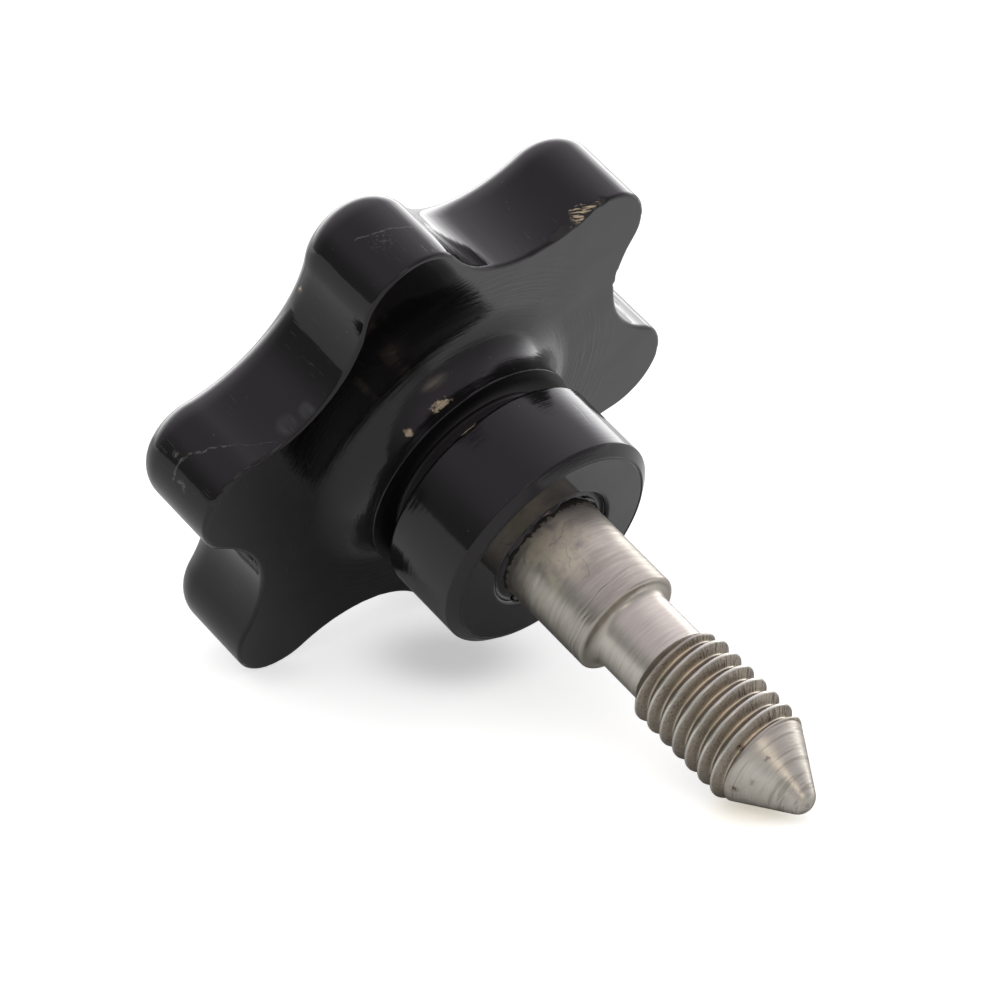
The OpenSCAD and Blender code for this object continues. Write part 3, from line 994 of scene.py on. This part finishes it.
def turned_steel():
    m, g, shader = start_material("turned_steel")
    p, x, y, z, r, c, s = part_space(g)
    run = g.add(z, g.times(r, RING_LEAN))
    rings = g.streaks((run, c, s), (2.2, 0.9, 0.9), detail=4.0, roughness=0.7)
    fine_rings = g.streaks((run, c, s), (9.0, 1.5, 1.5), detail=2.0, roughness=0.7)
    cloud = g.noise(p, scale=0.45, detail=3.0, roughness=0.6)
    grit = g.noise(p, scale=6.0, detail=3.0, roughness=0.65)

    # Shank, painted light on the relief and cone, thread flanks, painted highlight on crests, painted sheen
    # in roots.
    axial = g.math("ABSOLUTE", g.dot(g.node("ShaderNodeNewGeometry").outputs["Normal"], STUD_AXIS))
    on_shank = g.band(z, *ON_SHANK_Z)
    on_thread = g.times(g.band(z, *THREAD_START_Z), g.band(z, *THREAD_END_Z))
    # Painted light: the relief and the cone past the shoulder are painted lighter.
    painted_light_ends = g.times(g.band(z, *PAINTED_LIGHT_Z), g.rest(on_thread), g.band(fine_rings, 0.3, 0.7, 0.36, 0.66))
    flank = g.times(on_thread, g.band(axial, 0.45, 0.8))
    # Painted highlight: the thread's crests are painted pale.
    crest = g.times(on_thread, g.band(r, *CREST_R))
    # Painted sheen: the roots are painted gold, most on the side that faces one way.
    sheen_side = g.band(facing(g, c, s, SHEEN_WAY), 0.8, 0.97)
    root = g.times(on_thread, g.band(r, *NEAR_ROOT_R), g.band(sheen_side, 0.0, 1.0, 0.25, 1.0))

    # Stain and hair cracks where the shank leaves the moulding.
    stain = g.times(g.spot(p, *STAIN), on_shank, g.band(cloud, 0.36, 0.6))
    wobble = g.noise(p, scale=1.3)
    cracks = g.most(*(scratches(g, p, wobble, chain, (0, 0), CRACK_W) for chain in CRACKS))
    uneven_z = g.times(g.noise(p, scale=1.6, detail=3.0, roughness=0.6), 1.1)
    tide = g.band(g.math("SUBTRACT", z, uneven_z), *TIDE_Z)

    # Tool chatter across the flanks, rust in the last root, pits and lathe lines on the cone.
    ticks = g.streaks((c, s, z), (26.0, 26.0, 0.7), detail=2.0, roughness=0.6)
    ticks = g.times(g.band(ticks, 0.49, 0.6), flank, g.band(y, -2.8, 0.2), g.band(x, -1.5, -3.2))
    speckle = g.times(g.band(grit, 0.46, 0.62), flank, g.band(cloud, 0.3, 0.6, 0.4, 1.0))
    rust = g.times(g.most(*(g.spot(p, *spot) for spot in RUST)), g.band(grit, 0.4, 0.55))
    uneven = g.either_side(g.noise(p, scale=3.2), 0.9)
    dark_pit = g.band(g.add(g.far(p, DARK_PIT), uneven), 0.3, 0.1)
    faint_pit = g.band(g.add(g.far(p, FAINT_PIT), uneven), 0.4, 0.0)
    dots = g.times(g.specks(p, scale=0.9, size=0.06), g.band(grit, 0.4, 0.52))
    pits = g.most(dark_pit, g.times(faint_pit, 0.6), dots)
    lathe = g.streaks((run, c, s), (4.5, 0.7, 0.7), detail=1.0)
    lathe = g.times(g.band(lathe, 0.57, 0.63), g.band(z, *LATHE_Z))

    color = g.coats(
        g.mix(g.band(rings, 0.3, 0.7), STEEL_DARK, STEEL_LIGHT),
        (cloud, 0.35, STEEL_CLOUD), (painted_light_ends, 1.0, STEEL_PAINTED_LIGHT), (lathe, 0.45, LATHE_BROWN),
        (stain, 0.85, STAIN_TAN), (flank, 0.75, FLANK_GREY), (speckle, 0.7, SPECKLE_BROWN),
        (root, 0.75, ROOT_PAINTED_SHEEN), (crest, 0.7, CREST_PAINTED_HIGHLIGHT), (ticks, 0.75, TICK_BLACK),
        (cracks, 0.45, CRACK_BROWN), (tide, 0.9, TIDE_BLACK), (rust, 0.9, RUST_BROWN), (pits, 0.6, PIT_GREY),
    )
    g.plug(shader.inputs["Base Color"], color)
    shader.inputs["Metallic"].default_value = 1.0
    shader.inputs["Specular Tint"].default_value = STEEL_TINT
    rough = g.raised(
        g.add(g.band(fine_rings, 0.3, 0.7, 0.28, 0.38), g.band(z, *DULL_Z, 0.0, 0.11)),
        (flank, 0.1), (stain, 0.1), (rust, 0.3), (tide, 0.3), (crest, -0.06),
    )
    g.plug(shader.inputs["Roughness"], rough)

    # The marks of turning are deeper on the cone.
    deep_rings = g.times(rings, g.band(z, *DEEP_RINGS_Z, 1.0, 2.6))
    deep_fine = g.times(fine_rings, g.band(z, *DEEP_FINE_Z, 0.4, 1.0))
    gritty = g.times(grit, g.add(g.times(flank, 0.8), 0.1))
    cuts = g.most(ticks, g.times(cracks, 0.2))
    normal = g.relief((deep_rings, 0.012), (deep_fine, 0.022), (gritty, 0.03), (cuts, -0.03))
    g.plug(shader.inputs["Normal"], normal)
    return m


knob.data.materials.append(moulded_resin())
stud.data.materials.append(turned_steel())


# Stage: floor, light and camera

# Light levels.
FLOOR_GLOW = 0.66
SKY_LIGHT = 0.46
SUN_LIGHT = 0.7
SUN_SPREAD = math.radians(70)
SUN_COLOR = (1.0, 0.985, 0.965)
SUN_FROM = (0.05, -0.3, 0.95)
BACK_LIGHT = 2.8
LOW_SIDE_SHADE = -0.45
WHITE = (1, 1, 1)
TENT_TOP = (1.0, 0.945, 1.01)

# The floor in metres: half its side, its whites, and painted shadows where its glow is lowered, each with a
# place, a reach and a share. The last painted shadow, under the tip, is warm.
FLOOR_HALF = 8.0
FLOOR_WHITE = (0.94, 0.94, 0.94)
FLOOR_MIRRORED = (0.74, 0.74, 0.74)
PAINTED_FLOOR_SHADOWS = (
    ((-0.0135, 0.0020, 0.0), 0.0120, 0.44),
    ((-0.0215, -0.0115, 0.0), 0.005, 0.15),
    ((0.0258, -0.0014, 0.0), 0.006, 0.3),
)
SHADOW_CORE = 0.15
SHADOW_WARM = (1.0, 0.93, 0.8)

# The camera, fitted to the photo's view.
LENS = 186.837
SENSOR = 36
CAMERA_AT = (0.280671, -0.28728, 0.188467)
CAMERA_TURN = (
    (0.704967, -0.282750, 0.650441),
    (0.709143, 0.265828, -0.653033),
    (0.011740, 0.921622, 0.387910),
)


def light_path(g):
    """Camera rays, and the rays of reflections and glass, each 0 or 1."""
    path = g.node("ShaderNodeLightPath")
    mirrored = g.most(path.outputs["Is Glossy Ray"], path.outputs["Is Transmission Ray"])
    return path.outputs["Is Camera Ray"], mirrored


def flat_sheet(name, half_w, half_h):
    """A flat rectangle in the scene."""
    mesh = bpy.data.meshes.new(name)
    corners = [(-half_w, -half_h, 0), (half_w, -half_h, 0), (half_w, half_h, 0), (-half_w, half_h, 0)]
    mesh.from_pydata(corners, [], [(0, 1, 2, 3)])
    obj = bpy.data.objects.new(name, mesh)
    bpy.context.scene.collection.objects.link(obj)
    return obj


def build_floor():
    """A white floor. Reflections see it a little darker, with soft bright bands. The camera sees painted
    shadows.
    """
    floor = flat_sheet("floor", FLOOR_HALF, FLOOR_HALF)
    m, g = new_material("floor_white")
    diffuse = g.node("ShaderNodeBsdfDiffuse")
    glow = g.node("ShaderNodeEmission")
    camera, mirrored = light_path(g)
    g.plug(diffuse.inputs["Color"], g.mix(mirrored, FLOOR_WHITE, FLOOR_MIRRORED))
    place = g.node("ShaderNodeTexCoord").outputs["Object"]
    y = g.split(place)[1]
    bands = g.add(
        g.band(g.dot(place, AHEAD), 0.05, 0.45, 0.0, 0.6),
        g.band(y, 0.008, 0.026, 0.0, 0.42),
        g.band(y, 0.0, -0.02, 0.0, 0.2),
    )
    # Painted shadows: the floor's glow is lowered under the hub, at a lobe's foot and, warm, under the tip.
    spots = [g.spot(place, centre, reach, SHADOW_CORE * reach) for centre, reach, share in PAINTED_FLOOR_SHADOWS]
    painted_shadow = g.most(*(g.times(spot, share) for spot, (centre, reach, share) in zip(spots, PAINTED_FLOOR_SHADOWS)))
    g.plug(glow.inputs["Color"], g.mix(spots[-1], WHITE, SHADOW_WARM))
    seen = g.times(camera, g.band(painted_shadow, 0.0, 1.0, FLOOR_GLOW, 0.0))
    g.plug(glow.inputs["Strength"], g.add(seen, g.times(mirrored, bands)))
    g.output(g.add_shaders(diffuse, glow))
    floor.data.materials.append(m)


def build_world():
    """A white tent. The camera sees it white and even. Reflections see it brighter overhead and ahead, and
    brightest low behind the part."""
    world = bpy.data.worlds.new("studio")
    bpy.context.scene.world = world
    world.use_nodes = True
    g = Graph(world.node_tree)
    toward = g.node("ShaderNodeTexCoord").outputs["Generated"]
    ahead = g.dot(toward, AHEAD)
    right = g.dot(toward, RIGHT)
    height = g.split(toward)[2]
    tent = g.add(g.band(ahead, -0.25, 0.6, 0.42, 0.9), g.band(height, 0.3, 0.8, 0.0, 0.16))
    low_side = g.times(g.band(right, 0.0, -0.8), g.band(height, 0.65, 0.1))
    tent = g.times(tent, g.add(1.0, g.times(low_side, LOW_SIDE_SHADE)))
    back = g.times(g.band(ahead, 0.32, 0.92), g.band(height, 0.64, 0.1))
    tent = g.add(tent, g.times(back, BACK_LIGHT))
    camera, mirrored = light_path(g)
    level = g.band(camera, 0.0, 1.0, SKY_LIGHT, 1.0)
    level = g.add(g.times(level, g.rest(mirrored)), g.times(mirrored, tent))
    glow = g.node("ShaderNodeBackground")
    g.plug(glow.inputs["Color"], g.mix(g.times(mirrored, g.band(height, 0.2, 0.7)), WHITE, TENT_TOP))
    g.plug(glow.inputs["Strength"], level)
    g.output(glow, "ShaderNodeOutputWorld")


def build_panel(name, toward, distance, width, height, color, strength):
    """A lit panel that only reflections see, facing the part. It fades out toward its edges and hides
    nothing."""
    w, h = width / 2, height / 2
    obj = flat_sheet(name, w, h)
    m, g = new_material(name)
    glow = g.node("ShaderNodeEmission")
    glow.inputs["Color"].default_value = (*color, 1)
    place = g.node("ShaderNodeTexCoord").outputs["Object"]
    off = g.far(g.vector("DIVIDE", place, (w, h, 1.0)), (0, 0, 0))
    g.plug(glow.inputs["Strength"], g.band(off, 1.0, 0.0, 0.0, strength))
    g.output(g.add_shaders(g.node("ShaderNodeBsdfTransparent"), glow))
    obj.data.materials.append(m)
    way = Vector(toward).normalized()
    turn = way.to_track_quat("-Z", "Y").to_matrix().to_4x4()
    obj.matrix_world = Matrix.Translation(way * distance) @ turn
    obj.visible_camera = False
    obj.visible_diffuse = False
    obj.visible_shadow = False


def build_lamp_and_camera():
    scene = bpy.context.scene
    sun = bpy.data.lights.new("sun", "SUN")
    sun.energy = SUN_LIGHT
    sun.angle = SUN_SPREAD
    sun.color = SUN_COLOR
    lamp = bpy.data.objects.new("sun", sun)
    scene.collection.objects.link(lamp)
    lamp.matrix_world = Vector(SUN_FROM).to_track_quat("Z", "Y").to_matrix().to_4x4()
    lamp.visible_glossy = False

    cam = bpy.data.cameras.new("camera")
    cam.lens = LENS
    cam.sensor_width = SENSOR
    cam.clip_start = 0.01
    cam.clip_end = 100
    holder = bpy.data.objects.new("camera", cam)
    scene.collection.objects.link(holder)
    holder.matrix_world = Matrix.Translation(CAMERA_AT) @ Matrix(CAMERA_TURN).to_4x4()
    scene.camera = holder


build_floor()
build_world()
build_lamp_and_camera()
build_panel("warm_panel", toward=(0.88, -0.21, 0.42), distance=1.2, width=0.58, height=0.7,
            color=(1.0, 0.88, 0.68), strength=1.7)

bpy.context.scene.view_settings.view_transform = "Standard"
